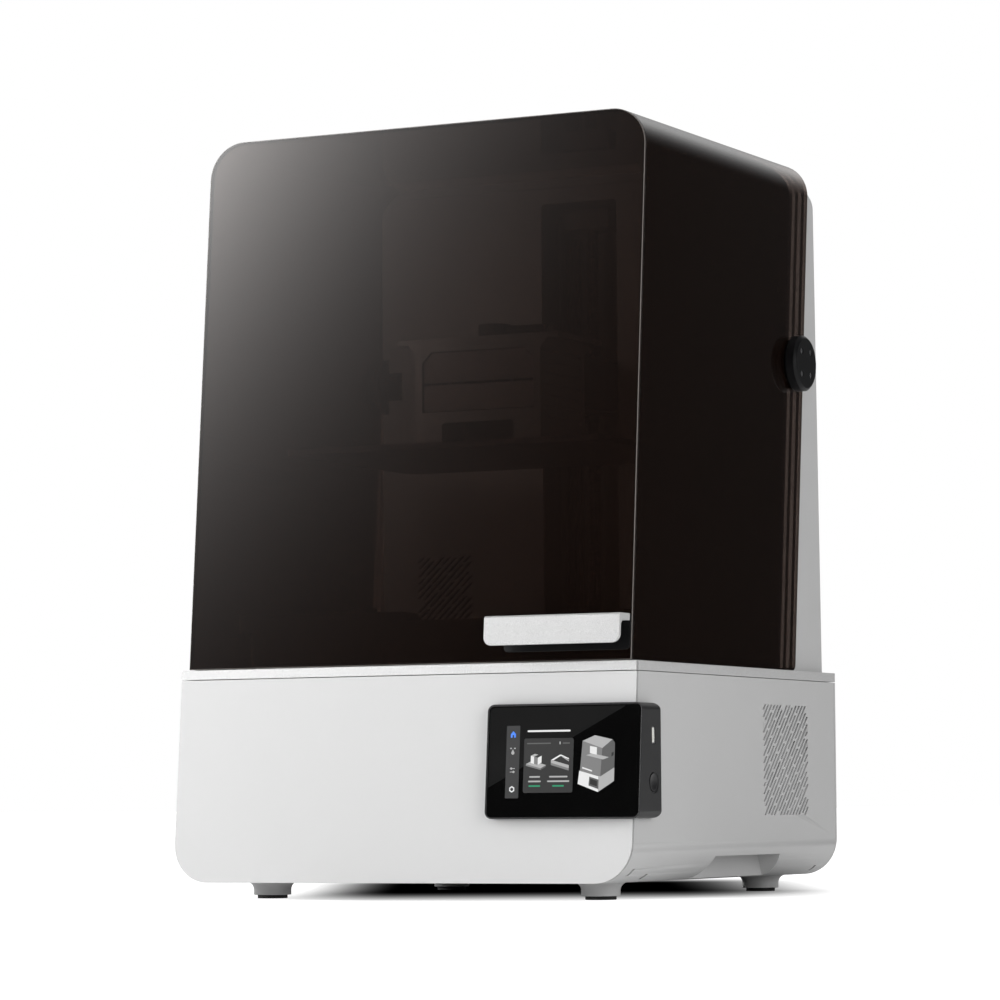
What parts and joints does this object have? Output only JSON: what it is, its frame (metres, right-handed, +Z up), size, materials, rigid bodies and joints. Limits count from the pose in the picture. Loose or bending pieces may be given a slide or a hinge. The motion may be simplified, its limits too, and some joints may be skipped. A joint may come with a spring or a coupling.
{
  "type": "resin printer",
  "caption": "Desktop masked-LCD resin 3D printer: white base with touch screen, resin vat, lifting build platform on a ball screw and a hinged smoked flip-up cover.",
  "frame": {"origin": "centre of the bounding box at the bottom, on the surface that the foot pads stand on", "axes": "+Z up, -Y towards the front with the cover and the screen, +X to the right seen from the front"},
  "size_m": [0.4488, 0.445, 0.6591],
  "materials": {
    "white_paint": "satin",
    "grey_paint": "satin",
    "deck_metal": "fine textured",
    "smoked_acrylic": "gloss, see-through, dark brown",
    "handle_metal": "brushed",
    "plate_metal": "bead blasted",
    "dark_metal": "anodised, matte",
    "bright_metal": "anodised, satin",
    "steel": "ground",
    "housing_plastic": "fine textured",
    "black_plastic": "satin",
    "foot_plastic": "satin",
    "rubber": "matte",
    "screen_glass": "gloss",
    "panel_glass": "gloss",
    "lens": "clear",
    "film": "clear",
    "circuit": "solder mask",
    "lamp": "gloss",
    "carbon": "porous"
  },
  "bodies": {
    "printer": {"base_wrap": "grey_paint", "front_panel": "white_paint", "rear_panel": "grey_paint", "top_deck": "deck_metal", "feet": "foot_plastic", "foot_pads": "rubber", "screen_housing": "housing_plastic", "screen_glass": "screen_glass", "screen_board": "circuit", "usb_port": "steel", "exposure_lcd": "panel_glass", "lcd_frame": "dark_metal", "collimating_lens": "lens", "light_box": "dark_metal", "lamp_board": "lamp", "heat_sink": "bright_metal", "lamp_fan_frame": "black_plastic", "mainboard": "circuit", "power_supply": "bright_metal", "power_inlet": "black_plastic", "rear_fan_frame": "black_plastic", "z_column": "bright_metal", "z_rails": "steel", "z_motor": "dark_metal", "motor_bracket": "steel", "upper_bearing": "bright_metal", "lower_bearing": "bright_metal", "heater_bracket": "black_plastic", "tower_panel": "grey_paint", "tower_shell": "grey_paint", "carbon_filter": "carbon", "hinge_barrels": "black_plastic", "hinge_pins": "steel"},
    "cover": {"cover_front": "smoked_acrylic", "cover_wrap": "smoked_acrylic", "cover_handle": "handle_metal", "handle_backing": "black_plastic", "hinge_cap_left": "black_plastic", "hinge_cap_right": "black_plastic", "cap_screws": "steel"},
    "carriage": {"carriage": "dark_metal", "slider_blocks": "steel", "ball_nut": "steel", "platform_arm": "dark_metal"},
    "platform": {"platform_bracket": "dark_metal", "clamp_plates": "bright_metal", "build_plate": "plate_metal", "platform_bolts": "steel"},
    "lever": {"release_lever": "black_plastic"},
    "screw": {"ball_screw": "steel", "shaft_coupler": "bright_metal"},
    "vat": {"vat_body": "dark_metal", "film_frame": "bright_metal", "vat_film": "film"},
    "knob_left": {"vat_knob_left": "black_plastic"},
    "knob_right": {"vat_knob_right": "black_plastic"},
    "power_button": {"power_button": "housing_plastic"},
    "power_switch": {"power_switch": "black_plastic"},
    "lamp_fan": {"lamp_fan_rotor": "black_plastic"},
    "rear_fan": {"rear_fan_rotor": "black_plastic"}
  },
  "joints": [
    {"name": "cover_hinge", "type": "hinge", "parent": "printer", "child": "cover", "pos_m": [-0.00162, 0.1485, 0.4715], "axis": [-1, 0, 0], "range_deg": [0, 80]},
    {"name": "z_slide", "type": "slide", "parent": "printer", "child": "carriage", "axis": [0, 0, 1], "range_m": [-0.1825, 0.115]},
    {"name": "screw_spin", "type": "hinge", "parent": "printer", "child": "screw", "pos_m": [-0.00162, 0.1725, 0.1959], "axis": [0, 0, 1], "continuous": true},
    {"name": "platform_slide", "type": "slide", "parent": "carriage", "child": "platform", "axis": [0, -1, 0], "range_m": [0, 0.03]},
    {"name": "lever_turn", "type": "hinge", "parent": "platform", "child": "lever", "pos_m": [-0.00162, -0.0285, 0.4879], "axis": [0, 0, 1], "range_deg": [0, 90]},
    {"name": "vat_lift", "type": "slide", "parent": "printer", "child": "vat", "axis": [0, 0, 1], "range_m": [0, 0.12]},
    {"name": "knob_left_turn", "type": "hinge", "parent": "vat", "child": "knob_left", "pos_m": [-0.17663, 0.0543, 0.2429], "axis": [0, 0, 1], "continuous": true},
    {"name": "knob_right_turn", "type": "hinge", "parent": "vat", "child": "knob_right", "pos_m": [0.17338, 0.0543, 0.2429], "axis": [0, 0, 1], "continuous": true},
    {"name": "power_button_press", "type": "slide", "parent": "printer", "child": "power_button", "axis": [-1, 0, 0], "range_m": [0, 0.0012], "stiffness_N_per_m": 1500},
    {"name": "power_switch_rock", "type": "hinge", "parent": "printer", "child": "power_switch", "pos_m": [0.14838, 0.2145, 0.1509], "axis": [1, 0, 0], "range_deg": [0, 16]},
    {"name": "lamp_fan_spin", "type": "hinge", "parent": "printer", "child": "lamp_fan", "pos_m": [-0.00162, -0.0187, 0.0584], "axis": [0, 0, 1], "continuous": true},
    {"name": "rear_fan_spin", "type": "hinge", "parent": "printer", "child": "rear_fan", "pos_m": [-0.11163, 0.207, 0.1159], "axis": [0, 1, 0], "continuous": true}
  ],
  "couplings": [
    {"joint": "screw_spin", "follows": "z_slide", "rad_per_m": -1256.6}
  ]
}
